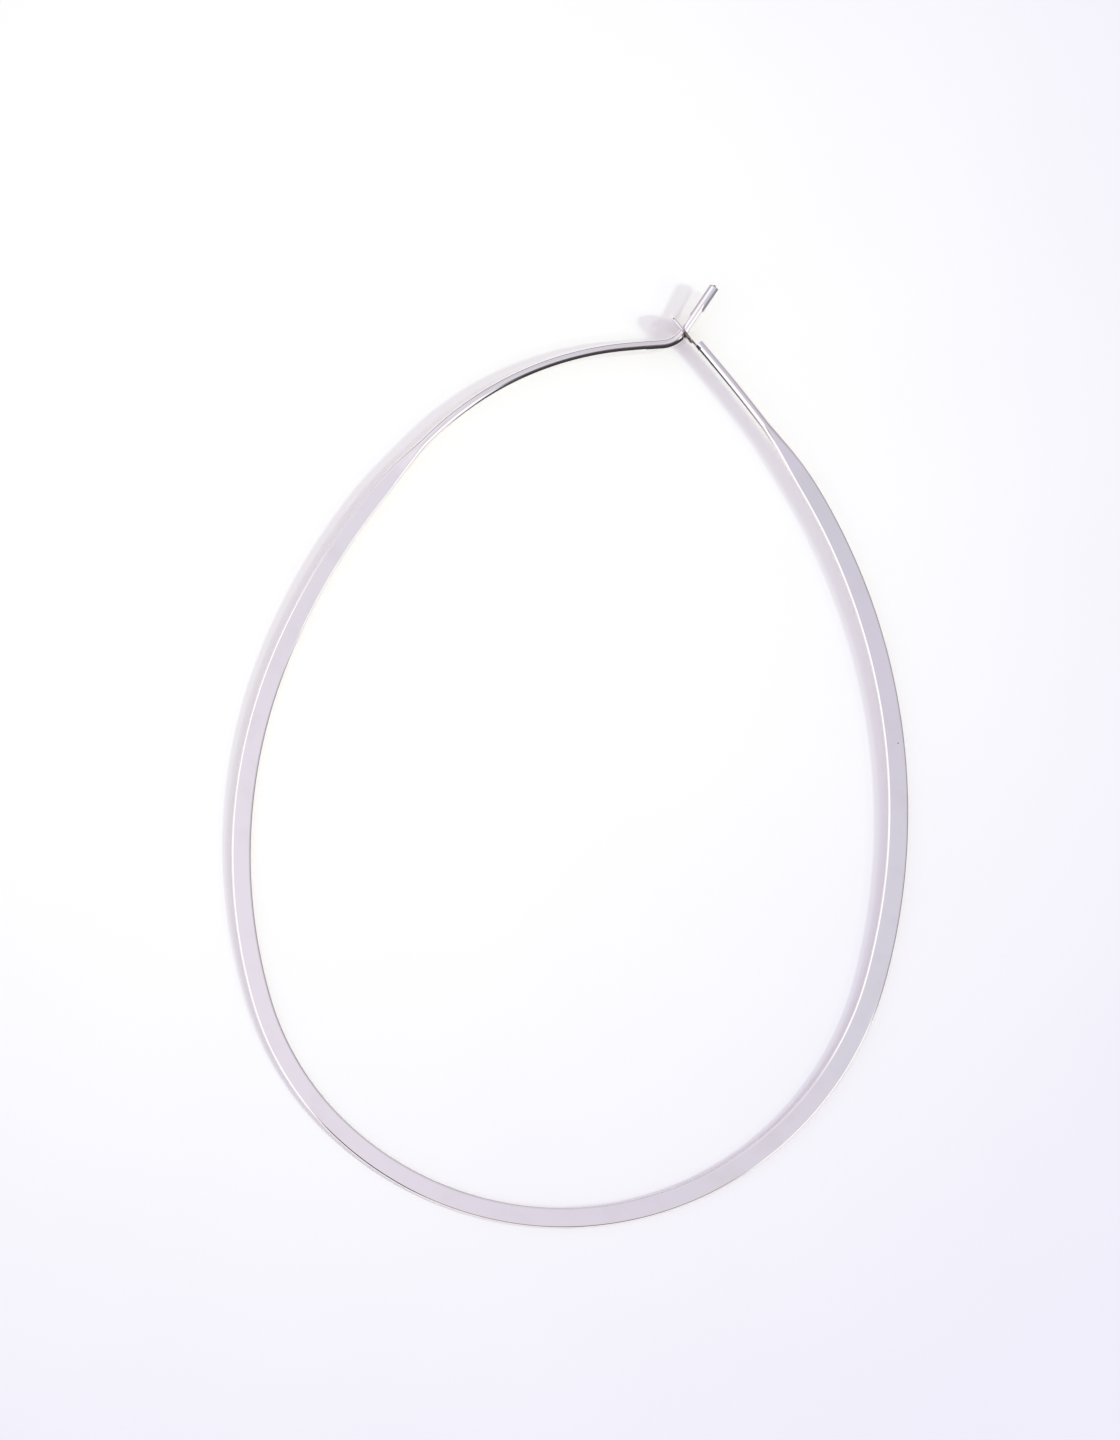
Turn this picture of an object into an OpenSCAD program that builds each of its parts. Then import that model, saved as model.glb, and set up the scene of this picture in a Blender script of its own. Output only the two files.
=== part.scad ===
// Teardrop hoop earring of one round wire, rolled flat along the drop and closed by a pierced catch.
// It lies on z = 0 as it would on a table, on the catch's lower edge and on the far end of the drop.
// All sizes are in millimetres and all angles in degrees.

/* [Wire] */
// Diameter of the round wire
wire_d = 0.8; // [0.7:0.05:0.9]

/* [Drop] */
// Scale of the drop's outline, 1 being the size shown
drop_scale = 1; // [0.8:0.05:1.2]
// Width of the flattened strip where it is widest
strip_w = 1.7; // [1.5:0.05:1.9]
// Run of the rounded edge on each side of the strip's flat
edge_run = 0.2; // [0.15:0.01:0.25]

/* [Ear wire tip] */
// Radius of the bend before the tip, on the wire's centreline
bend_r = 2.4; // [2.2:0.1:2.6]
// Angle of that bend
bend_turn = 52.4; // [50:0.2:55]
// Roll of the bend about the ear wire, which lifts the tip out of the hoop's plane
bend_roll = 6.3; // [0:0.1:8]
// Straight length after the bend
tip_l = 4.4; // [3.5:0.1:5]
// Chamfer on the tip's end
tip_chamfer = 0.18; // [0.05:0.01:0.25]

/* [Catch] */
// Height of the catch plate, square to the hoop's plane
catch_h = 2.2; // [2:0.1:2.6]
// Thickness of the catch plate
catch_t = 0.25; // [0.22:0.01:0.3]
// Distance from the rod's axis to the middle of the plate at the rod's end, towards the inside of the drop
catch_offset = 0.4; // [0.36:0.01:0.4]
// Angle that the plate is turned off the rod, towards the outside of the drop
catch_turn = 2.5; // [0:0.5:4]
// Length from the eye to the centre of the plate's round far end
catch_reach = 0.65; // [0.4:0.05:1]
// Diameter of the eye
eye_d = 1.1; // [1.08:0.01:1.3]

/* [Hidden] */

// Columns and rows of the drop's centreline: tangent arcs, all turning left, from the ear wire's bend
// over the arch, down the left side, round the bottom and up to the rod's end
ARC_R = 0;
ARC_TURN = 1;
ARCS = [
    [95.0, 1.8],
    [25.7, 38.6],
    [52.75, 22.9],
    [41.7, 39.2],
    [22.9, 29.2],
    [25.9, 118.9],
    [50.2, 52.7],
    [135.0, 4.0],
];
start_heading = -158.9;

// Share of the drop's length : how far the wire is rolled out, 0 round and 1 the full width
ROLLED = [
    [0.0000, 0.00],
    [0.1100, 0.00],
    [0.1150, 0.08],
    [0.1200, 0.24],
    [0.1250, 0.39],
    [0.1300, 0.51],
    [0.1350, 0.63],
    [0.1400, 0.68],
    [0.1700, 0.72],
    [0.2150, 0.80],
    [0.3000, 0.89],
    [0.4300, 0.92],
    [0.5850, 1.00],
    [0.7200, 1.00],
    [0.7800, 0.95],
    [0.8600, 0.89],
    [0.9000, 0.80],
    [0.9200, 0.74],
    [0.9300, 0.65],
    [0.9400, 0.42],
    [0.9450, 0.26],
    [0.9500, 0.13],
    [0.9570, 0.00],
    [1.0000, 0.00],
];

// Sides of the wire's section, and the spacing of the sections along it
sides = 16;
step = 1.5;
fine_step = 0.5;
bend_step = 6.55;

// Straight wire between the bend and the round tip, so that the tip's own surface is clear of the bend
lead = 0.8;
// How far the swept wire runs into the tip, and its size there, so that it stays inside the tip
lap = 0.12;
lap_fit = 0.985;
// The swept section is drawn round the true one, so that its flats lie on the wire's surface
section_fit = 1 / cos(180 / sides);

wire_r = wire_d / 2;
// Area of the wire's section, which rolling leaves as it is
wire_area = PI * wire_r * wire_r;

function last(list) = list[len(list) - 1];
function sum_of(list, count) = count == 0 ? 0 : list[count - 1] + sum_of(list, count - 1);
function dir(heading) = [cos(heading), sin(heading)];
function left_of(heading) = [-sin(heading), cos(heading)];

// Centreline of the drop
turns = [for (row = ARCS) row[ARC_TURN]];
radii = [for (row = ARCS) row[ARC_R] * drop_scale];
lengths = [for (i = [0 : len(ARCS) - 1]) radii[i] * turns[i] * PI / 180];
row_heading = [for (i = [0 : len(ARCS)]) start_heading + sum_of(turns, i)];
row_start = [for (i = [0 : len(ARCS)]) sum_of(lengths, i)];
drop_l = last(row_start);
function along_arc(heading, radius, turn) = radius * (left_of(heading) - left_of(heading + turn));
function row_point(i) = i == 0 ? [0, 0]
    : row_point(i - 1) + along_arc(row_heading[i - 1], radii[i - 1], turns[i - 1]);
row_points = [for (i = [0 : len(ARCS)]) row_point(i)];
function row_of(s) = max([for (i = [0 : len(ARCS) - 1]) if (s >= row_start[i]) i]);
function turn_in_row(s) = (s - row_start[row_of(s)]) / radii[row_of(s)] * 180 / PI;
function heading_at(s) = row_heading[row_of(s)] + turn_in_row(s);
function point_at(s) = row_points[row_of(s)]
    + along_arc(row_heading[row_of(s)], radii[row_of(s)], turn_in_row(s));

// Section of the wire where it is w wide: a flat between two elliptical edges, a circle where w is wire_d
function width_at(s) = wire_d + (strip_w - wire_d) * lookup(s / drop_l, ROLLED);
full_run_w = wire_d + 0.6;
function edge_at(w) = w >= full_run_w ? edge_run
    : wire_r + (edge_run - wire_r) * (w - wire_d) / (full_run_w - wire_d);
function thickness_at(w) = wire_area / (w - (4 - PI) / 2 * edge_at(w));
function side_sign(i) = (i + 0.5) * 360 / sides < 90 || (i + 0.5) * 360 / sides > 270 ? 1 : -1;
function section_point(w, i) = [
    side_sign(i) * (w / 2 - edge_at(w)) + section_fit * edge_at(w) * cos((i + 0.5) * 360 / sides),
    section_fit * thickness_at(w) / 2 * sin((i + 0.5) * 360 / sides),
];

// Sections of the drop, closer together where the wire passes from round to flat
function steps_between(a, b) = ceil((b - a) * drop_l / (b - a < 0.03 ? fine_step : step));
stations = [
    for (i = [0 : len(ROLLED) - 2])
        for (k = [0 : steps_between(ROLLED[i][0], ROLLED[i + 1][0]) - 1])
            drop_l * (ROLLED[i][0] + (ROLLED[i + 1][0] - ROLLED[i][0]) * k
                / steps_between(ROLLED[i][0], ROLLED[i + 1][0])),
    drop_l - 0.0001,
];
function drop_ring(s) = [
    for (i = [0 : sides - 1])
        let (q = section_point(width_at(s), i), p = point_at(s) - left_of(heading_at(s)) * q[0])
            [p[0], p[1], q[1]],
];

// The bend turns left off the ear wire, seen from the drop, rolled out of the hoop's plane by bend_roll
bend_heading = start_heading + 180;
bend_side = concat(left_of(bend_heading) * cos(bend_roll), sin(bend_roll));
bend_up = concat(left_of(bend_heading) * -sin(bend_roll), cos(bend_roll));
bend_ahead = concat(dir(bend_heading), 0);
function bend_dir(a) = bend_ahead * cos(a) + bend_side * sin(a);
function bend_out(a) = bend_ahead * sin(a) - bend_side * cos(a);
function bend_point(a) = bend_side * bend_r + bend_out(a) * bend_r;
function bend_ring(a, extra, fit) = [
    for (i = [0 : sides - 1])
        let (angle = (i + 0.5) * 360 / sides)
            bend_point(a) + bend_dir(a) * extra
                + (bend_out(a) * -cos(angle) + bend_up * sin(angle)) * wire_r * fit,
];
tip_dir = bend_dir(bend_turn);
tip_root = bend_point(bend_turn) + tip_dir * lead;
tip_end = bend_point(bend_turn) + tip_dir * tip_l;

bend_steps = round(bend_turn / bend_step);
bend_angles = [for (k = [0 : bend_steps - 1]) bend_turn * (1 - k / bend_steps)];
rings = concat(
    [for (extra = [lead + lap, lead]) bend_ring(bend_turn, extra, lap_fit)],
    [for (a = bend_angles) bend_ring(a, 0, section_fit)],
    [for (s = stations) drop_ring(s)]
);
ring_points = [for (ring = rings) each ring];

// Catch: the plate stands beside the rod's axis, and its eye is where the ear wire crosses the plate
rod_end = last(row_points);
rod_heading = heading_at(drop_l - 0.0001);
plate_heading = rod_heading - catch_turn;
plate_start = rod_end + left_of(rod_heading) * catch_offset;
bend_centre = [bend_side[0], bend_side[1]] * bend_r;
to_centre = bend_centre - plate_start;
eye_ahead = to_centre * dir(plate_heading)
    - sqrt(pow(bend_r, 2) - pow(to_centre * left_of(plate_heading), 2));
eye_point = plate_start + dir(plate_heading) * eye_ahead;
eye_z = eye_point * left_of(bend_heading) * tan(bend_roll);
// Neck between the rod's end and the plate, kept inside the round wire
neck_near = 0.5 * wire_r;
neck_far = 0.9 * wire_r;
neck_h = 0.8 * wire_r;
neck_root = 0.5;
neck_reach = eye_ahead - catch_h / 2 + 0.25;

// Rest: the drop tips about X until the plate's lower edge and the far end of the drop are level
far_ring = [for (s = stations) if (heading_at(s) > 0 && heading_at(s - step) <= 0) drop_ring(s)][0];
rest_tilt = asin((catch_h / 2 - max([for (p = far_ring) p[2]])) / (eye_point[1] - far_ring[0][1]));
function tipped(p) = [
    p[0],
    p[1] * cos(rest_tilt) - p[2] * sin(rest_tilt),
    p[1] * sin(rest_tilt) + p[2] * cos(rest_tilt),
];

// Box round the drop and the tip's end, which sets the origin
tip_box = [
    for (axis = [0 : 2]) for (side = [-1, 1]) for (back = [0, tip_chamfer])
        let (centre = tipped(tip_end - tip_dir * back), along = tipped(tip_dir))
        let (reach = (wire_r - tip_chamfer + back) * sqrt(1 - along[axis] * along[axis]))
            [for (i = [0 : 2]) centre[i] + (i == axis ? side * reach : 0)],
];
box_points = concat([for (p = ring_points) tipped(p)], tip_box);
function low(axis) = min([for (p = box_points) p[axis]]);
function high(axis) = max([for (p = box_points) p[axis]]);
origin_shift = [-(low(0) + high(0)) / 2, -(low(1) + high(1)) / 2, -low(2)];

// The drop and the ear wire with its bend, as far as the tip
module swept_wire() {
    color("silver")
        polyhedron(
            points = ring_points,
            faces = concat(
                [[for (i = [sides - 1 : -1 : 0]) i]],
                [for (r = [0 : len(rings) - 2]) for (i = [0 : sides - 1])
                    let (a = r * sides + i, b = r * sides + (i + 1) % sides)
                        each [[a, b, a + sides], [b, b + sides, a + sides]]],
                [[for (i = [0 : sides - 1]) (len(rings) - 1) * sides + i]]
            )
        );
}

// Round tip, chamfered at its end
module tip() {
    color("silver")
        translate(tip_root)
            rotate([0, acos(tip_dir[2]), atan2(tip_dir[1], tip_dir[0])])
                rotate_extrude($fn = 48)
                    polygon([
                        [0, 0],
                        [wire_r, 0],
                        [wire_r, tip_l - lead - tip_chamfer],
                        [wire_r - tip_chamfer, tip_l - lead],
                        [0, tip_l - lead],
                    ]);
}

// Pierced plate and the neck that joins it to the rod
module catch() {
    color("gainsboro") {
        translate([plate_start[0], plate_start[1], 0])
            rotate([0, 0, plate_heading])
                translate([0, catch_t / 2, 0])
                    rotate([90, 0, 0])
                        linear_extrude(catch_t)
                            difference() {
                                union() {
                                    for (x = [eye_ahead, eye_ahead + catch_reach])
                                        translate([x, 0])
                                            circle(d = catch_h, $fn = 64);
                                    translate([eye_ahead, -catch_h / 2])
                                        square([catch_reach, catch_h]);
                                }
                                translate([eye_ahead, eye_z])
                                    circle(d = eye_d, $fn = 64);
                            }
        translate([rod_end[0], rod_end[1], 0])
            rotate([0, 0, rod_heading])
                translate([-neck_root, neck_near, -neck_h / 2])
                    cube([neck_root + neck_reach, neck_far - neck_near, neck_h]);
    }
}

module teardrop_hoop() {
    translate(origin_shift)
        rotate([rest_tilt, 0, 0]) {
            swept_wire();
            tip();
            catch();
        }
}

teardrop_hoop();
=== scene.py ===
import math

import bpy
import numpy as np
from bpy.props import FloatProperty, FloatVectorProperty, PointerProperty
from bpy.types import Operator, Panel, PropertyGroup
from mathutils import Matrix, Vector


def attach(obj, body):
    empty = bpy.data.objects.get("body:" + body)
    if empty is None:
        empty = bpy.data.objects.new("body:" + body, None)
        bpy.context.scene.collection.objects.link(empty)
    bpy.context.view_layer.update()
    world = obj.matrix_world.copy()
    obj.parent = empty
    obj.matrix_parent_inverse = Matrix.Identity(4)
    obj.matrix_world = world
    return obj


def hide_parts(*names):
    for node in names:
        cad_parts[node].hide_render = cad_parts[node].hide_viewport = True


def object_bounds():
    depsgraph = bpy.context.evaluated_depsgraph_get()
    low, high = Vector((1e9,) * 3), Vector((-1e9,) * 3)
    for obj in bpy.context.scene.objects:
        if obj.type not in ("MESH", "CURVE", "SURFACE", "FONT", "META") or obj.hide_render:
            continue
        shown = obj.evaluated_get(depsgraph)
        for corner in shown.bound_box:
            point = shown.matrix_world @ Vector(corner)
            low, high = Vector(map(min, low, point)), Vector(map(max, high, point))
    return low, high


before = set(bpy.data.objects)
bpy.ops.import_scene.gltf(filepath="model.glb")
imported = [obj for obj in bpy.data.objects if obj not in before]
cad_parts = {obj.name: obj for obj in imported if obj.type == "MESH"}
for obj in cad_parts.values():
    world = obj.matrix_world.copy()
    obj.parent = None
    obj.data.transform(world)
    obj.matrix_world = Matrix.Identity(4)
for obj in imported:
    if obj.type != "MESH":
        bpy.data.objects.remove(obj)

bl_info = {
    "name": "Teardrop Earring",
    "version": (1, 0, 0),
    "blender": (4, 5, 0),
    "location": "View3D > Sidebar > Earring",
    "description": "A teardrop hoop of flattened silver wire, lying on white paper",
    "category": "Add Mesh",
}

CAD_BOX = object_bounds()
CAD_NODE = "teardrop_hoop"
MM = 0.001
UP = np.array([0.0, 0.0, 1.0])

# The drop's centreline, as tangent arcs that all turn left: radius in millimetres, turn in degrees
ARCS = (
    (95.0, 1.8),
    (25.7, 38.6),
    (52.75, 22.9),
    (41.7, 39.2),
    (22.9, 29.2),
    (25.9, 118.9),
    (50.2, 52.7),
    (135.0, 4.0),
)
START_HEADING = -158.9

# Share of the drop's length, and how far the wire is rolled out there: 0 round, 1 the full width
ROLLED = (
    (0.0000, 0.00),
    (0.1100, 0.00),
    (0.1150, 0.08),
    (0.1200, 0.24),
    (0.1250, 0.39),
    (0.1300, 0.51),
    (0.1350, 0.63),
    (0.1400, 0.68),
    (0.1700, 0.72),
    (0.2150, 0.80),
    (0.3000, 0.89),
    (0.4300, 0.92),
    (0.5850, 1.00),
    (0.7200, 1.00),
    (0.7800, 0.95),
    (0.8600, 0.89),
    (0.9000, 0.80),
    (0.9200, 0.74),
    (0.9300, 0.65),
    (0.9400, 0.42),
    (0.9450, 0.26),
    (0.9500, 0.13),
    (0.9570, 0.00),
    (1.0000, 0.00),
)

# The rolled wire's section, in millimetres: the added width over which its edges go from half circles
# to their own run, and the least half width of the flat between them
EDGE_CHANGE = 0.6
LEAST_HALF_FLAT = 0.002

# How the wire's two ends are finished, in millimetres: the radius of the ring that closes each, how far
# their corners are softened, and the length of the rod that is drawn with its end
CLOSING_R = 0.01
TIP_SOFTNESS = 0.06
ROD_SOFTNESS = 0.04
ROD_END_L = 0.3

# How finely the forms are drawn
RING_STEP = 0.35 * MM
TIP_RINGS = 8
BEND_RINGS = 25
ROUND_STEPS = 12
CORNER_STEPS = 5
PLATE_RAYS = 96
NECK_RINGS = 6
CARD_STEPS = 24

# The catch, in millimetres: how far the plate's corners are softened, and how deep the neck goes into
# the rod and the plate; then the neck's place beside the rod's axis and its half sizes, as shares of
# the wire's radius, and how far its corners are softened
PLATE_SOFTNESS = 0.11
NECK_IN_ROD = 0.3
NECK_IN_PLATE = 0.25
NECK_BESIDE = 0.7
NECK_HALF_W = 0.2
NECK_HALF_H = 0.4
NECK_SOFTNESS = 0.03

# What keeps the laid earring inside the CAD model's box: its scale, and its lift in millimetres
FITTED_SCALE = 0.9999
FITTED_LIFT = 0.004

# Dark marks on the silver, a pit and two patches of painted shade: radius and softness in millimetres, and
# colour
PIT = (0.05, 0.05, (0.2, 0.17, 0.17))
# Painted shade where the wire passes under the catch plate through its eye
CROSSING_SHADE = (0.2, 0.2, (0.2, 0.17, 0.17))
# Painted shade on the catch's neck and the near part of its plate, by the rod's end
CATCH_NECK_SHADE = (0.8, 0.5, (0.30, 0.24, 0.24))

# Where the marks are, in millimetres: the pit from the middle of the box, the painted shade at the
# crossing inwards from the eye, and the painted shade on the catch ahead of the rod's end and beside
# the rod's axis
PIT_PLACE = (22.62, 7.87)
CROSSING_INWARDS = 0.3
NECK_SHADE_AHEAD = 0.75
NECK_SHADE_BESIDE = 0.4

# The studio as the silver mirrors it. Azimuths run from the picture's right towards its lower edge,
# elevations up from the table, both in degrees. Each patch lies over those above it.
SKY = (
    # name, azimuth, half width, softness, lowest, highest, softness, colour
    ("far wall", -88, 38, 20, -5, 84, 10, (0.67, 0.64, 0.71)),
    ("low wall", 100, 50, 12, -5, 44, 8, (1.15, 1.13, 1.12)),
    ("left wall", 168, 40, 14, -5, 78, 16, (1.2, 1.17, 1.2)),
    ("upper right", -45, 35, 25, -5, 42, 24, (0.50, 0.46, 0.48)),
    ("right wall", -5, 30, 20, -5, 45, 26, (0.29, 0.235, 0.225)),
    ("below", 103, 17, 6, 40, 76, 8, (0.38, 0.32, 0.30)),
    ("lower left", 124, 10, 5, 36, 77, 8, (0.10, 0.075, 0.07)),
    ("window", 42, 17, 5, 4, 80, 5, (1.1, 1.08, 1.08)),
    ("near side", 76, 16, 6, 44, 77, 5, (0.24, 0.19, 0.18)),
    ("ceiling, far right", -38, 25, 30, 70, 89, 4, (0.627, 0.616, 0.695)),
    ("ceiling, near right", 42, 18, 20, 70, 89, 4, (0.683, 0.672, 0.752)),
    ("ceiling, lower right", 68, 10, 16, 70, 89, 4, (0.722, 0.693, 0.773)),
    ("ceiling, far left", -148, 40, 24, 70, 89, 4, (0.776, 0.743, 0.82)),
    ("table's edge", 0, 180, 10, -6, 15, 8, (0.50, 0.44, 0.44)),
    ("table's far edge", -88, 28, 16, -6, 14, 5, (0.17, 0.155, 0.17)),
    ("table's far left", -130, 16, 8, -6, 16, 5, (0.20, 0.15, 0.15)),
)

# The studio's left and right where no patch covers them, and the plain grey that the camera sees of it
LEFT_SIDE = (0.885, 0.83, 0.91)
RIGHT_SIDE = (0.615, 0.58, 0.69)
SIDE_SOFTNESS = 0.3
PLAIN_GREY = (0.86, 0.86, 0.88)

# Lamps on the right, the higher one weaker and further back and the lowest one faint, so that whatever
# stands high over the paper throws a wide pale shadow and the rest a narrower deep one
LAMP_SPREAD = 5.5
LAMPS = (
    # name, azimuth, elevation, strength, colour
    ("main_key", 3.0, 35.0, 1.22, (0.855, 1.0, 0.80)),
    ("high_key", -16.0, 46.5, 0.50, (0.83, 1.0, 0.74)),
    ("low_key", 13.0, 24.5, 0.30, (0.90, 1.0, 0.40)),
)

# Cards that stand near the wire and give it its dark lines. Each runs from one place to another. A
# place is a share of the drop's length, below 0 on the first arc carried on past the ear wire, then
# the distance from the centreline towards the inside and the height of the card's upper edge, in
# millimetres. The card's lower edge is at one height throughout.
BLACK = (0.027, 0.0225, 0.024)
CARDS = (
    # name, (share, beside, highest) at one end, the same at the other, lowest, colour
    ("card_by_ear_wire", (0.006, 3.2, 6.0), (0.060, 3.9, 6.0), 0.0, BLACK),
    ("card_by_ear_wire_end", (0.060, 3.9, 6.0), (0.098, 4.0, 0.4), 0.0, (0.05, 0.055, 0.065)),
    ("card_by_bend", (0.0065, 1.65, 3.1), (-0.0115, 1.2, 3.1), 0.0, BLACK),
    ("card_by_crossing", (-0.0115, 1.2, 2.8), (-0.0144, 0.7, 2.4), 0.0, BLACK),
    ("card_by_rod", (0.948, 2.5, 0.5), (1.003, 2.5, 2.8), 0.0, (0.04, 0.032, 0.032)),
    ("card_by_tip", (-0.0313, -4.67, 12.0), (-0.0229, -1.92, 12.0), 0.2, (0.56, 0.58, 0.68)),
    ("card_under_tip", (-0.0301, -4.55, 2.6), (-0.0217, -1.80, 2.6), 0.2, (0.30, 0.28, 0.32)),
    ("card_behind_tip", (-0.0179, -5.67, 1.9), (-0.0083, -2.77, 1.9), 0.0, (0.50, 0.47, 0.50)),
)

# The paper's size in metres. The camera's focal length in millimetres, its near limit in metres, and
# the place under it, in millimetres from the start of the drop's centreline.
PAPER_SIZE = 3.0
LENS = 131.25
NEAR_LIMIT = 0.01
AIM = (1.286, -31.134)


class WireSettings(PropertyGroup):
    wire_d: FloatProperty(
        name="Wire Diameter",
        description="Diameter of the round wire",
        default=0.8 * MM,
        unit="LENGTH",
    )
    strip_w: FloatProperty(
        name="Strip Width",
        description="Width of the flattened strip where it is widest",
        default=1.7 * MM,
        unit="LENGTH",
    )
    edge_run: FloatProperty(
        name="Edge Run",
        description="Run of the rounded edge on each side of the strip's flat",
        default=0.2 * MM,
        unit="LENGTH",
    )
    bend_r: FloatProperty(
        name="Bend Radius",
        description="Radius of the bend before the tip",
        default=2.4 * MM,
        unit="LENGTH",
    )
    bend_turn: FloatProperty(
        name="Bend Angle",
        description="Angle of the bend before the tip",
        default=math.radians(52.4),
        subtype="ANGLE",
    )
    bend_roll: FloatProperty(
        name="Bend Roll",
        description="Roll of the bend about the ear wire, which lifts the tip",
        default=math.radians(6.3),
        subtype="ANGLE",
    )
    tip_l: FloatProperty(
        name="Tip Length",
        description="Straight length after the bend",
        default=4.4 * MM,
        unit="LENGTH",
    )
    tip_chamfer: FloatProperty(
        name="Tip Chamfer",
        description="Chamfer on the tip's end",
        default=0.18 * MM,
        unit="LENGTH",
    )


class CatchSettings(PropertyGroup):
    height: FloatProperty(
        name="Plate Height",
        description="Height of the catch plate, square to the hoop",
        default=2.2 * MM,
        unit="LENGTH",
    )
    thickness: FloatProperty(
        name="Plate Thickness",
        description="Thickness of the catch plate",
        default=0.25 * MM,
        unit="LENGTH",
    )
    offset: FloatProperty(
        name="Plate Offset",
        description="Distance from the rod's axis to the middle of the plate at the rod's end",
        default=0.4 * MM,
        unit="LENGTH",
    )
    turn: FloatProperty(
        name="Plate Turn",
        description="Angle that the plate is turned off the rod, towards the outside of the drop",
        default=math.radians(2.5),
        subtype="ANGLE",
    )
    reach: FloatProperty(
        name="Plate Reach",
        description="Length from the eye to the centre of the plate's far end",
        default=0.65 * MM,
        unit="LENGTH",
    )
    eye_d: FloatProperty(
        name="Eye Diameter",
        description="Diameter of the eye in the plate",
        default=1.1 * MM,
        unit="LENGTH",
    )


class SilverSettings(PropertyGroup):
    colour: FloatVectorProperty(
        name="Silver",
        description="Colour of the polished silver",
        default=(0.95, 0.935, 0.94),
        subtype="COLOR",
        min=0,
        max=1,
    )
    worn_colour: FloatVectorProperty(
        name="Worn Silver",
        description="Colour where handling has dulled the plate",
        default=(0.86, 0.83, 0.83),
        subtype="COLOR",
        min=0,
        max=1,
    )
    roughness: FloatProperty(
        name="Polish",
        description="Roughness of the polished faces",
        default=0.045,
        subtype="FACTOR",
        min=0,
        max=1,
    )


class StageSettings(PropertyGroup):
    paper: FloatVectorProperty(
        name="Paper",
        description="Colour of the paper that the earring lies on",
        default=(1.0, 1.0, 1.0),
        subtype="COLOR",
        min=0,
        max=1,
    )
    # The far colour of the pool of light painted into the paper
    paper_far: FloatVectorProperty(
        name="Paper's Edge",
        description="Colour of the paper away from the light",
        default=(0.855, 0.835, 0.935),
        subtype="COLOR",
        min=0,
        max=1,
    )
    # Centre of the pool of light painted into the paper's colour
    brightest: FloatVectorProperty(
        name="Brightest Place",
        description="Where the light falls strongest on the paper",
        default=(-0.030, 0.016, 0.0),
        subtype="TRANSLATION",
    )
    # The paper glows with this colour, painted light standing for light from all sides, also where the wire
    # shades it
    glow: FloatVectorProperty(
        name="Paper's Glow",
        description="Colour of the light that reaches the paper from all sides, close to the wire too",
        default=(0.23, 0.185, 0.175),
        subtype="COLOR",
        min=0,
        max=1,
    )
    room: FloatVectorProperty(
        name="Room",
        description="Colour of the soft light from above",
        default=(0.73, 0.734, 0.846),
        subtype="COLOR",
        min=0,
        max=1,
    )
    camera_height: FloatProperty(
        name="Camera Height",
        description="Height of the camera over the paper",
        default=0.42,
        unit="LENGTH",
    )
    lean: FloatProperty(
        name="Lean",
        description="How far the drop leans to the right of upright in the picture",
        default=math.radians(17.5),
        subtype="ANGLE",
    )
    key_power: FloatProperty(
        name="Key Light",
        description="Strength of the lamps on the right, as a share of their full strength",
        default=1.0,
        min=0,
    )


class EarringSettings(PropertyGroup):
    wire: PointerProperty(type=WireSettings, name="Wire", description="Sizes of the wire")
    catch: PointerProperty(type=CatchSettings, name="Catch", description="Sizes of the catch")
    silver: PointerProperty(type=SilverSettings, name="Silver", description="Look of the silver")
    stage: PointerProperty(type=StageSettings, name="Stage", description="Paper, light and camera")


def settings():
    return bpy.context.scene.earring


# Forms


def left_of(heading):
    return np.array([-math.sin(heading), math.cos(heading), 0.0])


def ahead_of(heading):
    return np.array([math.cos(heading), math.sin(heading), 0.0])


class Drop:
    """The drop's centreline: its length, and the point and heading at each distance along it."""

    def __init__(self):
        self.arcs = []
        start, point, heading = 0.0, np.zeros(3), math.radians(START_HEADING)
        for radius, turn in ARCS:
            radius, turn = radius * MM, math.radians(turn)
            self.arcs.append((start, point, heading, radius))
            point = point + radius * (left_of(heading) - left_of(heading + turn))
            start += radius * turn
            heading += turn
        self.length, self.end, self.end_heading = start, point, heading

    def at(self, s):
        start, point, heading, radius = [arc for arc in self.arcs if arc[0] <= max(s, 0)][-1]
        turn = (s - start) / radius
        return point + radius * (left_of(heading) - left_of(heading + turn)), heading + turn


class Layout:
    """Where the bend, the tip and the catch go, worked out from the sizes before the earring is laid
    down. The drop lies in the plane z = 0, and its centreline starts at the origin, at the bend."""

    def __init__(self, wire, catch):
        self.wire, self.catch, self.drop = wire, catch, Drop()
        heading = math.radians(START_HEADING) + math.pi
        self.ahead = ahead_of(heading)
        self.side = left_of(heading) * math.cos(wire.bend_roll) + UP * math.sin(wire.bend_roll)
        self.up = UP * math.cos(wire.bend_roll) - left_of(heading) * math.sin(wire.bend_roll)
        self.rod_dir = ahead_of(self.drop.end_heading)
        self.rod_left = left_of(self.drop.end_heading)
        self.plate_dir = ahead_of(self.drop.end_heading - catch.turn)
        self.plate_left = left_of(self.drop.end_heading - catch.turn)
        start = self.drop.end + self.rod_left * catch.offset
        to_centre = (self.side * wire.bend_r - start) * (1, 1, 0)
        self.eye_ahead = to_centre @ self.plate_dir - math.sqrt(
            wire.bend_r**2 - (to_centre @ self.plate_left) ** 2
        )
        self.eye = start + self.plate_dir * self.eye_ahead
        self.eye_up = self.eye @ left_of(heading) * math.tan(wire.bend_roll)

    def bend_out(self, turn):
        return self.ahead * math.sin(turn) - self.side * math.cos(turn)

    def bend_dir(self, turn):
        return self.ahead * math.cos(turn) + self.side * math.sin(turn)

    def bend_point(self, turn):
        return (self.side + self.bend_out(turn)) * self.wire.bend_r


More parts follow.
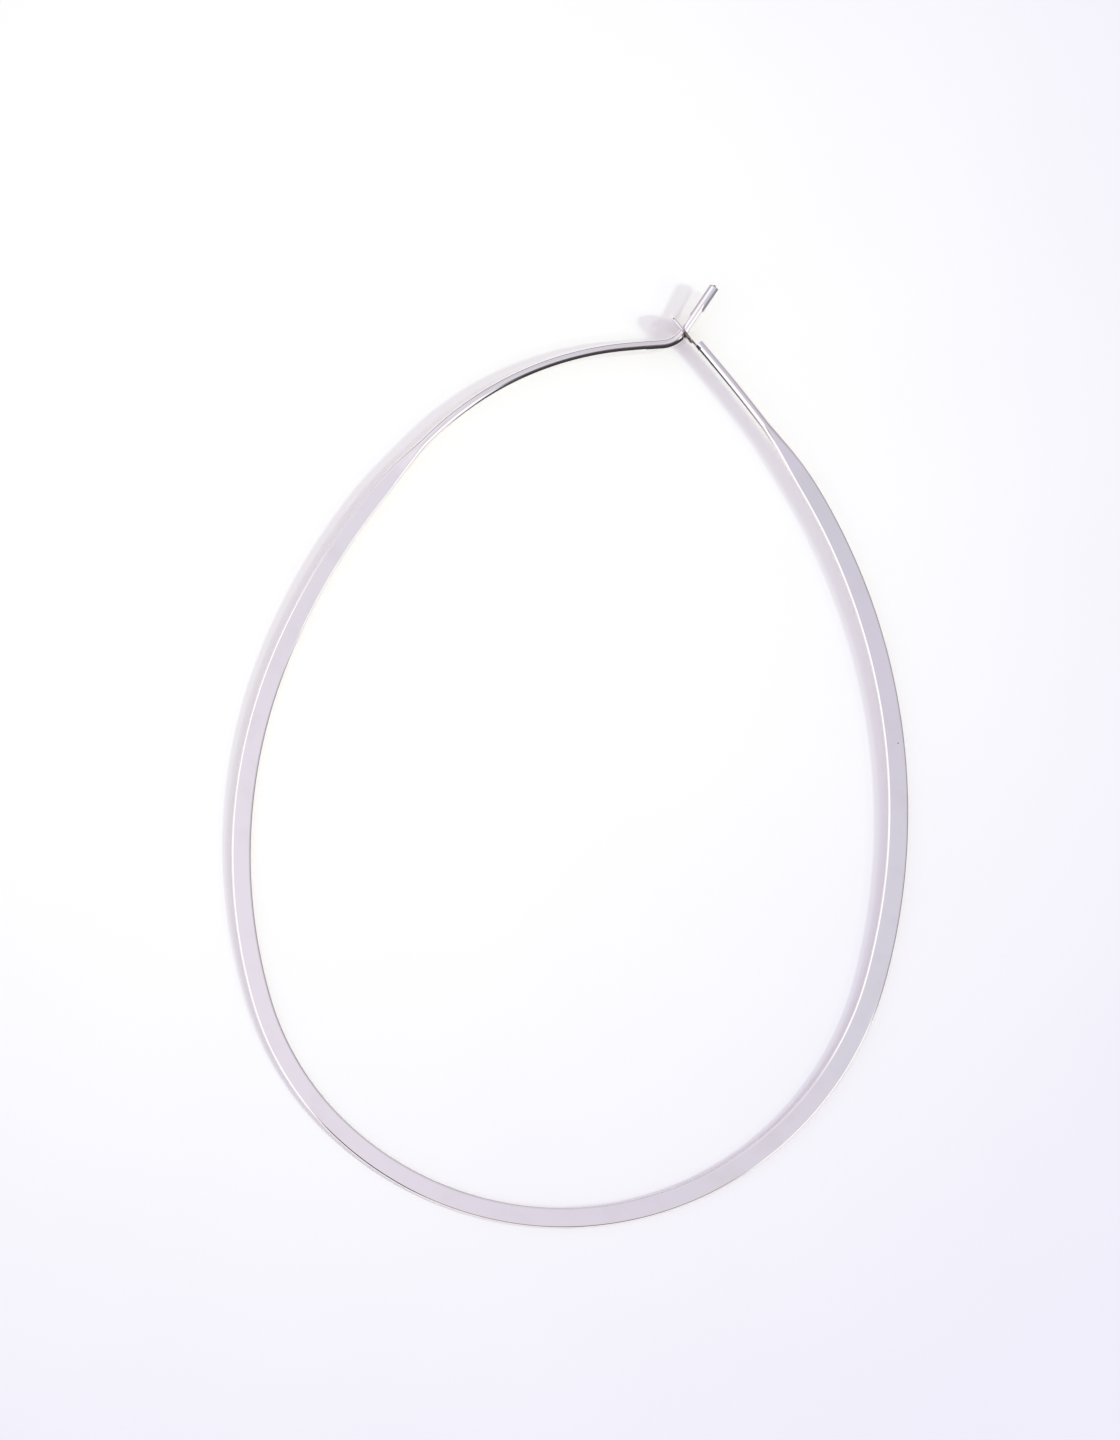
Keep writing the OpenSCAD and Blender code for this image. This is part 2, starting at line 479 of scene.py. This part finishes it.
def rolled(share):
    """How far the wire is rolled out at a share of the drop's length, on a smooth curve."""
    x, y = np.array(ROLLED).T
    slope = np.diff(y) / np.diff(x)
    before, after = slope[:-1], slope[1:]
    tangent = np.zeros(len(x))
    tangent[1:-1] = np.where(before * after > 0, 2 * before * after / (before + after + 1e-30), 0)
    i = int(np.clip(np.searchsorted(x, share) - 1, 0, len(x) - 2))
    gap = x[i + 1] - x[i]
    u = (share - x[i]) / gap
    return (
        y[i] * (1 + 2 * u) * (1 - u) ** 2
        + y[i + 1] * u * u * (3 - 2 * u)
        + tangent[i] * gap * u * (1 - u) ** 2
        - tangent[i + 1] * gap * u * u * (1 - u)
    )


def section(width, wire):
    """The wire's section where it is that wide, as (across, up) points, and the directions that run
    round it there. It is a flat between two elliptical edges, and a circle where the wire is round.
    Its area stays that of the round wire."""
    round_r = wire.wire_d / 2
    share = min(1.0, (width - wire.wire_d) / (EDGE_CHANGE * MM))
    run = round_r + (wire.edge_run - round_r) * share
    half_t = math.pi * round_r**2 / (width - (4 - math.pi) / 2 * run) / 2
    half_flat = max(width / 2 - run, LEAST_HALF_FLAT * MM)
    run = width / 2 - half_flat
    points, directions = [], []
    for side, first in ((1, -90), (-1, 90)):
        for k in range(ROUND_STEPS + 1):
            angle = math.radians(first + 180 * k / ROUND_STEPS)
            points.append((side * half_flat + run * math.cos(angle), half_t * math.sin(angle)))
            directions.append((-run * math.sin(angle), half_t * math.cos(angle)))
    return np.array(points), np.array(directions)


def softened(corners, reach):
    """A line through those corners, each inner one rounded off within reach of it."""
    corners = [np.array(corner, float) for corner in corners]
    line = [corners[0]]
    for before, corner, after in zip(corners, corners[1:], corners[2:]):
        a = corner + (before - corner) / np.linalg.norm(before - corner) * reach
        b = corner + (after - corner) / np.linalg.norm(after - corner) * reach
        for u in np.linspace(0, 1, CORNER_STEPS):
            line.append((1 - u) ** 2 * a + 2 * u * (1 - u) * corner + u * u * b)
    return line + [corners[-1]]


class Sweep:
    """Rings of the wire's section, one after another, and the directions that run round them."""

    def __init__(self, wire):
        self.wire = wire
        self.points = []
        self.directions = []

    def ring(self, point, across, up, width, size=1.0):
        points, directions = section(width, self.wire)
        self.points.append(point + size * (points[:, :1] * across + points[:, 1:] * up))
        self.directions.append(directions[:, :1] * across + directions[:, 1:] * up)

    def grids(self):
        points, directions = np.array(self.points), np.array(self.directions)
        normals = np.cross(directions, np.gradient(points, axis=0))
        return points, -normals / np.linalg.norm(normals, axis=2, keepdims=True)


def wire_sweep(layout):
    """The whole wire, from its tip through the bend and round the drop to the rod's end."""
    wire, drop = layout.wire, layout.drop
    r, closing_r, half_tip = wire.wire_d / 2, CLOSING_R * MM, wire.tip_l / 2
    sweep = Sweep(wire)
    tip_dir, tip_out = layout.bend_dir(wire.bend_turn), layout.bend_out(wire.bend_turn)
    end = layout.bend_point(wire.bend_turn) + tip_dir * wire.tip_l
    corners = ((0, closing_r), (0, r - wire.tip_chamfer), (wire.tip_chamfer, r), (half_tip, r))
    tip = softened(corners, TIP_SOFTNESS * MM)
    tip += [(back, r) for back in np.linspace(half_tip, wire.tip_l, TIP_RINGS)[1:-1]]
    for back, size in tip:
        sweep.ring(end - tip_dir * back, -tip_out, layout.up, wire.wire_d, size / r)
    for turn in np.linspace(wire.bend_turn, 0, BEND_RINGS)[:-1]:
        sweep.ring(layout.bend_point(turn), -layout.bend_out(turn), layout.up, wire.wire_d)
    for s in np.linspace(0, drop.length - ROD_END_L * MM, round(drop.length / RING_STEP))[:-1]:
        point, heading = drop.at(s)
        width = wire.wire_d + (wire.strip_w - wire.wire_d) * rolled(s / drop.length)
        sweep.ring(point, -left_of(heading), UP, width)
    for back, size in softened(((ROD_END_L * MM, r), (0, r), (0, closing_r)), ROD_SOFTNESS * MM):
        point, heading = drop.at(drop.length - back)
        sweep.ring(point, -left_of(heading), UP, wire.wire_d, size / r)
    return sweep


def resting(layout, sweep):
    """Lays the earring down: the drop tips until the plate's lower edge and the drop's far end are
    level, and the whole moves to the middle of the CAD model's box, a hair smaller to stay inside."""
    points = np.array(sweep.points)
    far = points[points[:, :, 1].min(1).argmin()]
    rise = layout.catch.height / 2 - far[:, 2].max()
    tilt = Matrix.Rotation(math.asin(rise / (layout.eye[1] - far[:, 1].min())), 4, "X")
    tilt = Matrix.Scale(FITTED_SCALE, 4) @ tilt
    laid = points.reshape(-1, 3) @ np.array(tilt.to_3x3()).T
    low, high = laid.min(0), laid.max(0)
    middle = [(a + b) / 2 for a, b in zip(*CAD_BOX)]
    across, along = ((low[k] + high[k]) / 2 for k in (0, 1))
    lift = CAD_BOX[0][2] - low[2] + FITTED_LIFT * MM
    return Matrix.Translation((middle[0] - across, middle[1] - along, lift)) @ tilt


def plate_grids(layout):
    """The catch plate as profiles round its eye: each runs from the eye's wall over one face to the
    plate's outer edge and back over the other face, with its corners softened."""
    catch = layout.catch
    outer_r, eye_r, half = catch.height / 2, catch.eye_d / 2, catch.thickness / 2
    soft = PLATE_SOFTNESS * MM
    eye = np.array([0.0, layout.eye_up])

    def in_drop(flat, depth):
        """A place or way given as (ahead, up) in the plate's plane and a depth off it."""
        return layout.plate_dir * flat[0] + layout.plate_left * depth + UP * flat[1]

    def rim(ray, inset):
        """Where a ray from the eye meets the plate's outline moved in by inset, and the way out there."""
        radius = outer_r - inset
        low, high = 0.0, 4 * outer_r
        for _ in range(50):
            middle = (low + high) / 2
            place = eye + ray * middle
            core = np.array([min(max(place[0], 0.0), catch.reach), 0.0])
            if np.linalg.norm(place - core) < radius:
                low = middle
            else:
                high = middle
        return place, (place - core) / radius

    bevel = [(math.sin(a), math.cos(a)) for a in np.linspace(0, math.pi / 2, CORNER_STEPS)]
    points, normals = [], []
    for angle in np.linspace(0, 2 * math.pi, PLATE_RAYS + 1)[:-1]:
        ray = np.array([math.cos(angle), math.sin(angle)])
        face = []
        for a, b in bevel:
            face.append((eye + ray * (eye_r + soft * (1 - b)), half - soft * (1 - a), -ray * b, a))
        for a, b in bevel[::-1]:
            place, way = rim(ray, soft * (1 - b))
            face.append((place, half - soft * (1 - a), way * b, a))
        back = [(place, -depth, way, -square) for place, depth, way, square in face[::-1]]
        points.append([layout.eye + in_drop(place, depth) for place, depth, _, _ in face + back])
        normals.append([in_drop(way, square) for _, _, way, square in face + back])
    return np.array(points), np.array(normals)


def neck_grids(layout):
    """The neck from the rod's end to the plate, as rings of a rectangle with softened corners."""
    r, soft = layout.wire.wire_d / 2, NECK_SOFTNESS * MM
    reach = layout.eye_ahead - layout.catch.height / 2 + NECK_IN_PLATE * MM
    inner = (NECK_HALF_W * r - soft, NECK_HALF_H * r - soft)
    quarter = math.pi / 2
    profile, ways = [], []
    for turn in range(4):
        middle = quarter * (turn + 0.5)
        corner = np.sign([math.cos(middle), math.sin(middle)])
        for angle in np.linspace(quarter * turn, quarter * (turn + 1), CORNER_STEPS):
            way = np.array([math.cos(angle), math.sin(angle)])
            profile.append(corner * inner + way * soft)
            ways.append(way)
    points, normals = [], []
    for ahead in np.linspace(-NECK_IN_ROD * MM, reach, NECK_RINGS):
        centre = layout.drop.end + layout.rod_dir * ahead + layout.rod_left * NECK_BESIDE * r
        points.append([centre + layout.rod_left * x + UP * z for x, z in profile])
        normals.append([layout.rod_left * x + UP * z for x, z in ways])
    return np.array(points)[:, ::-1], np.array(normals)[:, ::-1]


def grid_piece(name, points, normals, matrix, closed=False):
    """A mesh object through a grid of points, ring after ring, shaded with the grid's own normals.
    A closed grid's last ring joins its first, and an open one's ends are capped."""
    rings, around = points.shape[:2]
    place = np.array(matrix)
    points = points @ place[:3, :3].T + place[:3, 3]
    normals = normals @ place[:3, :3].T
    faces, shading = [], []
    for ring in range(rings if closed else rings - 1):
        for i in range(around):
            after, j = (ring + 1) % rings, (i + 1) % around
            corners = ((ring, i), (after, i), (after, j), (ring, j))
            faces.append([a * around + b for a, b in corners])
            shading += [normals[a, b] for a, b in corners]
    if not closed:
        for ring, order in ((0, range(around)), (rings - 1, range(around - 1, -1, -1))):
            faces.append([ring * around + i for i in order])
            shading += [normals[ring, i] for i in order]
    mesh = bpy.data.meshes.new(name)
    mesh.from_pydata(points.reshape(-1, 3).tolist(), [], faces)
    mesh.polygons.foreach_set("use_smooth", [True] * len(faces))
    mesh.normals_split_custom_set([tuple(normal) for normal in shading])
    mesh.update()
    piece = bpy.data.objects.new(name, mesh)
    bpy.context.scene.collection.objects.link(piece)
    return piece


# Materials


class Tree:
    """Short calls that add shader nodes to a tree and join them."""

    def __init__(self, tree):
        self.tree = tree

    def node(self, kind, inputs=(), **options):
        node = self.tree.nodes.new(kind)
        for name, value in options.items():
            setattr(node, name, value)
        self.fill(node, inputs)
        return node

    def fill(self, node, inputs):
        for name, value in dict(inputs).items():
            self.join(value, node.inputs[name])

    def join(self, value, socket):
        if isinstance(value, bpy.types.NodeSocket):
            self.tree.links.new(value, socket)
        elif socket.type == "RGBA" and len(value) == 3:
            socket.default_value = (*value, 1)
        else:
            socket.default_value = value

    def math(self, operation, *values):
        return self.node("ShaderNodeMath", enumerate(values), operation=operation).outputs[0]

    def vector(self, operation, first, second, output="Vector"):
        inputs = {0: first, 1: second}
        return self.node("ShaderNodeVectorMath", inputs, operation=operation).outputs[output]

    def scaled(self, colour, size):
        inputs = {0: colour, "Scale": size}
        return self.node("ShaderNodeVectorMath", inputs, operation="SCALE").outputs[0]

    def blend(self, share, below, above):
        inputs = {0: share, 6: below, 7: above}
        return self.node("ShaderNodeMix", inputs, data_type="RGBA").outputs[2]

    def noise(self, place, scale, detail):
        inputs = {"Vector": place, "Scale": scale, "Detail": detail}
        return self.node("ShaderNodeTexNoise", inputs).outputs[0]

    def bump(self, height, strength, distance):
        inputs = {"Height": height, "Strength": strength, "Distance": distance}
        return self.node("ShaderNodeBump", inputs).outputs[0]

    def between(self, value, start, end):
        """0 at start and 1 at end, smooth between."""
        inputs = {"Value": value, "From Min": start, "From Max": end}
        return self.node("ShaderNodeMapRange", inputs, interpolation_type="SMOOTHSTEP").outputs[0]

    def past(self, value, edge, softness):
        """0 below an edge and 1 past it, smooth over that softness; the other way round if negative."""
        return self.between(value, edge - softness / 2, edge + softness / 2)

    def placed(self, name, inputs):
        """Places an effect's node group, made the first time that it is wanted: its outputs."""
        if name not in bpy.data.node_groups:
            EFFECTS[name]()
        return self.node("ShaderNodeGroup", inputs, node_tree=bpy.data.node_groups[name]).outputs


def new_effect(name, inputs, outputs):
    """An empty shader node group with those named inputs and outputs: its tree and its two ends."""
    group = bpy.data.node_groups.new(name, "ShaderNodeTree")
    for way, sockets in (("INPUT", inputs), ("OUTPUT", outputs)):
        for label, kind in sockets.items():
            group.interface.new_socket(label, in_out=way, socket_type="NodeSocket" + kind)
    tree = Tree(group)
    return tree, tree.node("NodeGroupInput").outputs, tree.node("NodeGroupOutput")


def make_worn_plate():
    """Faint waves and a fine grain in the plate, and the places where handling has dulled it."""
    inputs = {"Silver": "Color", "Worn Silver": "Color", "Polish": "Float"}
    outputs = {"Colour": "Color", "Roughness": "Float", "Height": "Float"}
    least_dulled, most_dulled, most_worn = 0.45, 0.75, 0.35
    dulled_roughness, grain_roughness, wave_height = 0.04, 0.02, 6.0
    tree, given, result = new_effect("worn_plate", inputs, outputs)
    place = tree.node("ShaderNodeTexCoord").outputs["Object"]
    dulled = tree.between(tree.noise(place, 420.0, 3.0), least_dulled, most_dulled)
    grain = tree.noise(place, 9000.0, 2.0)
    waves = tree.noise(place, 350.0, 1.0)
    worn = tree.math("MULTIPLY", dulled, most_worn)
    roughness = tree.math("MULTIPLY_ADD", dulled, dulled_roughness, given["Polish"])
    sockets = {
        "Colour": tree.blend(worn, given["Silver"], given["Worn Silver"]),
        "Roughness": tree.math("MULTIPLY_ADD", grain, grain_roughness, roughness),
        "Height": tree.math("MULTIPLY_ADD", waves, wave_height, grain),
    }
    tree.fill(result, sockets)


def make_spot():
    """A round soft-edged spot in the plane of the drop: 1 within its radius, 0 beyond it."""
    inputs = {"Centre": "Vector", "Radius": "Float", "Softness": "Float"}
    tree, given, result = new_effect("spot", inputs, {"Mask": "Float"})
    place = tree.node("ShaderNodeTexCoord").outputs["Object"]
    flat = tree.vector("MULTIPLY", place, (1, 1, 0))
    distance = tree.vector("DISTANCE", flat, given["Centre"], "Value")
    inside = tree.math("MULTIPLY_ADD", given["Softness"], -0.5, given["Radius"])
    outside = tree.math("MULTIPLY_ADD", given["Softness"], 0.5, given["Radius"])
    tree.fill(result, {"Mask": tree.between(distance, outside, inside)})


EFFECTS = {"worn_plate": make_worn_plate, "spot": make_spot}


def new_material(name):
    """A new material, its tree and its shader."""
    material = bpy.data.materials.new(name)
    material.use_nodes = True
    return material, Tree(material.node_tree), material.node_tree.nodes["Principled BSDF"]


def polished_silver(name, marks):
    """Polished silver plate, worn as it is handled, with dark marks (pits and painted shade) at the places
    given.
    """
    look = settings().silver
    material, tree, shader = new_material(name)
    plate = {"Silver": look.colour[:], "Worn Silver": look.worn_colour[:], "Polish": look.roughness}
    plate = tree.placed("worn_plate", plate)
    colour = plate["Colour"]
    for place, (radius, softness, mark_colour) in marks:
        spot = {"Centre": (place[0], place[1], 0), "Radius": radius * MM, "Softness": softness * MM}
        colour = tree.blend(tree.placed("spot", spot)["Mask"], colour, mark_colour)
    sockets = {
        "Base Color": colour,
        "Roughness": plate["Roughness"],
        "Metallic": 1.0,
        "Normal": tree.bump(plate["Height"], 0.15, 0.002 * MM),
    }
    tree.fill(shader, sockets)
    return material


def pitted_and_shaded_silver(layout, place):
    """The wire's silver, with a pit in the strip's face and painted shade where the wire passes the eye."""
    crossing = place @ Vector(layout.eye - layout.side * CROSSING_INWARDS * MM)
    marks = [(Vector(PIT_PLACE) * MM, PIT), (crossing, CROSSING_SHADE)]
    return polished_silver("polished_silver", marks)


def shaded_catch_silver(layout, place):
    """The catch's silver, with painted shade on the neck and the near part of the plate."""
    neck_shade_place = layout.drop.end + layout.rod_dir * NECK_SHADE_AHEAD * MM
    neck_shade_place = place @ Vector(neck_shade_place + layout.rod_left * NECK_SHADE_BESIDE * MM)
    return polished_silver("shaded_catch_silver", [(neck_shade_place, CATCH_NECK_SHADE)])


def white_paper():
    """Smooth white paper with a faint tooth, and a painted pool of light: its colour fades from the
    brightest place.
    """
    look = settings().stage
    fades_from, fades_to = 20 * MM, 100 * MM
    mottled, whiteness = 0.99, 0.76
    material, tree, shader = new_material("white_paper")
    place = tree.node("ShaderNodeTexCoord").outputs["Object"]
    tooth = tree.noise(place, 2500.0, 4.0)
    mottle = tree.between(tree.noise(place, 60.0, 2.0), 0.3, 0.8)
    away = tree.vector("DISTANCE", place, look.brightest, "Value")
    # Painted pool of light: white at the brightest place, the far colour away from it
    white = tree.blend(tree.between(away, fades_from, fades_to), look.paper, look.paper_far)
    white = tree.blend(mottle, white, tree.scaled(white, mottled))
    sockets = {
        "Base Color": tree.scaled(white, whiteness),
        # The paper's glow is painted light, as bright in the wire's shade as in the open
        "Emission Color": tree.vector("MULTIPLY", white, look.glow),
        "Emission Strength": 1.0,
        "Roughness": 0.9,
        "Specular IOR Level": 0.1,
        "Normal": tree.bump(tooth, 0.2, 0.02 * MM),
    }
    tree.fill(shader, sockets)
    return material


def matt_card(name, colour):
    """Matt card, as bright as that colour whatever light falls on it."""
    material, tree, shader = new_material(name)
    sockets = {
        "Base Color": (0.02, 0.02, 0.02),
        "Emission Color": colour,
        "Emission Strength": 1.0,
        "Roughness": 0.9,
    }
    tree.fill(shader, sockets)
    return material


# Stage


def lay_paper():
    bpy.ops.mesh.primitive_plane_add(size=PAPER_SIZE)
    paper = bpy.context.object
    paper.name = "paper"
    paper.data.materials.append(white_paper())


def studio_sky():
    """The studio round the table, as soft patches of light and shade; plain pale grey to the camera."""
    stage = settings().stage
    world = bpy.data.worlds.new("studio")
    world.use_nodes = True
    tree = Tree(world.node_tree)
    way = tree.node("ShaderNodeTexCoord").outputs["Generated"]
    inputs = {"Vector": way, "Angle": -stage.lean}
    turned = tree.node("ShaderNodeVectorRotate", inputs, rotation_type="Z_AXIS").outputs[0]
    across, up_picture, up = tree.node("ShaderNodeSeparateXYZ", {0: turned}).outputs
    azimuth = tree.math("ARCTAN2", tree.math("MULTIPLY", up_picture, -1.0), across)
    elevation = tree.math("ARCSINE", up)
    colour = tree.blend(tree.past(across, 0.0, SIDE_SOFTNESS), LEFT_SIDE, RIGHT_SIDE)
    for name, *angles, patch in SKY:
        centre, half_width, soft_side, lowest, highest, soft_up = map(math.radians, angles)
        off = tree.math("COSINE", tree.math("SUBTRACT", azimuth, centre))
        beside = tree.past(tree.math("ARCCOSINE", off), half_width, -soft_side)
        above = tree.past(elevation, lowest, soft_up)
        below = tree.past(elevation, highest, -soft_up)
        share = tree.math("MULTIPLY", beside, tree.math("MULTIPLY", above, below))
        colour = tree.blend(share, colour, patch)
        colour.node.label = name
    ray = tree.node("ShaderNodeLightPath").outputs
    colour = tree.blend(ray["Is Diffuse Ray"], colour, stage.room)
    colour = tree.blend(ray["Is Camera Ray"], colour, PLAIN_GREY)
    tree.join(colour, world.node_tree.nodes["Background"].inputs["Color"])
    world.cycles.sampling_method = "NONE"
    bpy.context.scene.world = world


def hang_lamps():
    stage = settings().stage
    for name, azimuth, elevation, strength, colour in LAMPS:
        lamp = bpy.data.lights.new(name, "SUN")
        lamp.energy = strength * stage.key_power
        lamp.angle = math.radians(LAMP_SPREAD)
        lamp.color = colour
        key = bpy.data.objects.new(name, lamp)
        key.visible_glossy = False
        azimuth, elevation = stage.lean - math.radians(azimuth), math.radians(elevation)
        way = Vector(ahead_of(azimuth) * math.cos(elevation) + UP * math.sin(elevation))
        key.rotation_euler = way.to_track_quat("Z", "Y").to_euler()
        bpy.context.scene.collection.objects.link(key)


def stand_cards(layout, place):
    """Stands the cards by the wire. Only the silver mirrors them: the camera doesn't see them and
    they throw no shadow."""
    for name, first, last, lowest, colour in CARDS:
        points = []
        for share, beside, highest in np.linspace(first, last, CARD_STEPS):
            point, heading = layout.drop.at(share * layout.drop.length)
            foot = place @ Vector(point + left_of(heading) * beside * MM)
            points += [(foot.x, foot.y, lowest * MM), (foot.x, foot.y, highest * MM)]
        faces = [(k, k + 2, k + 3, k + 1) for k in range(0, len(points) - 2, 2)]
        mesh = bpy.data.meshes.new(name)
        mesh.from_pydata(points, [], faces)
        mesh.materials.append(matt_card(name, colour))
        card = bpy.data.objects.new(name, mesh)
        bpy.context.scene.collection.objects.link(card)
        card.visible_camera = card.visible_shadow = card.visible_diffuse = False


def stand_camera(place):
    stage = settings().stage
    camera = bpy.data.objects.new("camera", bpy.data.cameras.new("camera"))
    camera.data.lens = LENS
    camera.data.clip_start = NEAR_LIMIT
    seen_from = Matrix.Translation((AIM[0] * MM, AIM[1] * MM, stage.camera_height))
    camera.matrix_world = place @ seen_from @ Matrix.Rotation(stage.lean, 4, "Z")
    bpy.context.scene.collection.objects.link(camera)
    bpy.context.scene.camera = camera
    bpy.context.scene.view_settings.view_transform = "Standard"


# Operators


def laid_out():
    """The layout and the wire for the sizes as they are set, and the matrix that lays them down."""
    layout = Layout(settings().wire, settings().catch)
    sweep = wire_sweep(layout)
    return layout, sweep, resting(layout, sweep)


def finish_piece(piece, material):
    piece.data.materials.append(material)
    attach(piece, "root")
    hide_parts(CAD_NODE)


class EARRING_OT_wire(Operator):
    """Adds the wire: the tip, the bend, the ear wire, the flattened drop and the rod"""

    bl_idname = "earring.wire"
    bl_label = "Wire"

    def execute(self, context):
        layout, sweep, place = laid_out()
        piece = grid_piece("drop_and_ear_wire", *sweep.grids(), place)
        finish_piece(piece, pitted_and_shaded_silver(layout, place))
        return {"FINISHED"}


class EARRING_OT_catch(Operator):
    """Adds the catch: the pierced plate and the neck that joins it to the rod"""

    bl_idname = "earring.catch"
    bl_label = "Catch"

    def execute(self, context):
        layout, _, place = laid_out()
        plate = grid_piece("catch_plate", *plate_grids(layout), place, closed=True)
        neck = grid_piece("catch_neck", *neck_grids(layout), place)
        material = shaded_catch_silver(layout, place)
        for piece in (plate, neck):
            finish_piece(piece, material)
        return {"FINISHED"}


class EARRING_OT_stage(Operator):
    """Adds the paper, the studio's light, the cards and the camera"""

    bl_idname = "earring.stage"
    bl_label = "Stage"

    def execute(self, context):
        layout, _, place = laid_out()
        lay_paper()
        studio_sky()
        hang_lamps()
        stand_cards(layout, place)
        stand_camera(place)
        return {"FINISHED"}


STEPS = (
    (EARRING_OT_wire.bl_idname, "wire"),
    (EARRING_OT_catch.bl_idname, "catch"),
    (EARRING_OT_stage.bl_idname, "stage"),
)


class EARRING_PT_sidebar(Panel):
    bl_label = "Teardrop Earring"
    bl_idname = "EARRING_PT_sidebar"
    bl_space_type = "VIEW_3D"
    bl_region_type = "UI"
    bl_category = "Earring"

    def draw(self, context):
        for operator, group in STEPS:
            box = self.layout.box()
            box.operator(operator)
            owner = getattr(context.scene.earring, group)
            for name in owner.bl_rna.properties.keys():
                if name not in ("rna_type", "name"):
                    box.prop(owner, name)


CLASSES = (
    WireSettings,
    CatchSettings,
    SilverSettings,
    StageSettings,
    EarringSettings,
    EARRING_OT_wire,
    EARRING_OT_catch,
    EARRING_OT_stage,
    EARRING_PT_sidebar,
)


def register():
    for cls in CLASSES:
        bpy.utils.register_class(cls)
    bpy.types.Scene.earring = PointerProperty(type=EarringSettings)


def unregister():
    del bpy.types.Scene.earring
    for cls in reversed(CLASSES):
        bpy.utils.unregister_class(cls)


def main():
    register()
    for operator in (bpy.ops.earring.wire, bpy.ops.earring.catch, bpy.ops.earring.stage):
        operator()


if __name__ == "__main__":
    main()
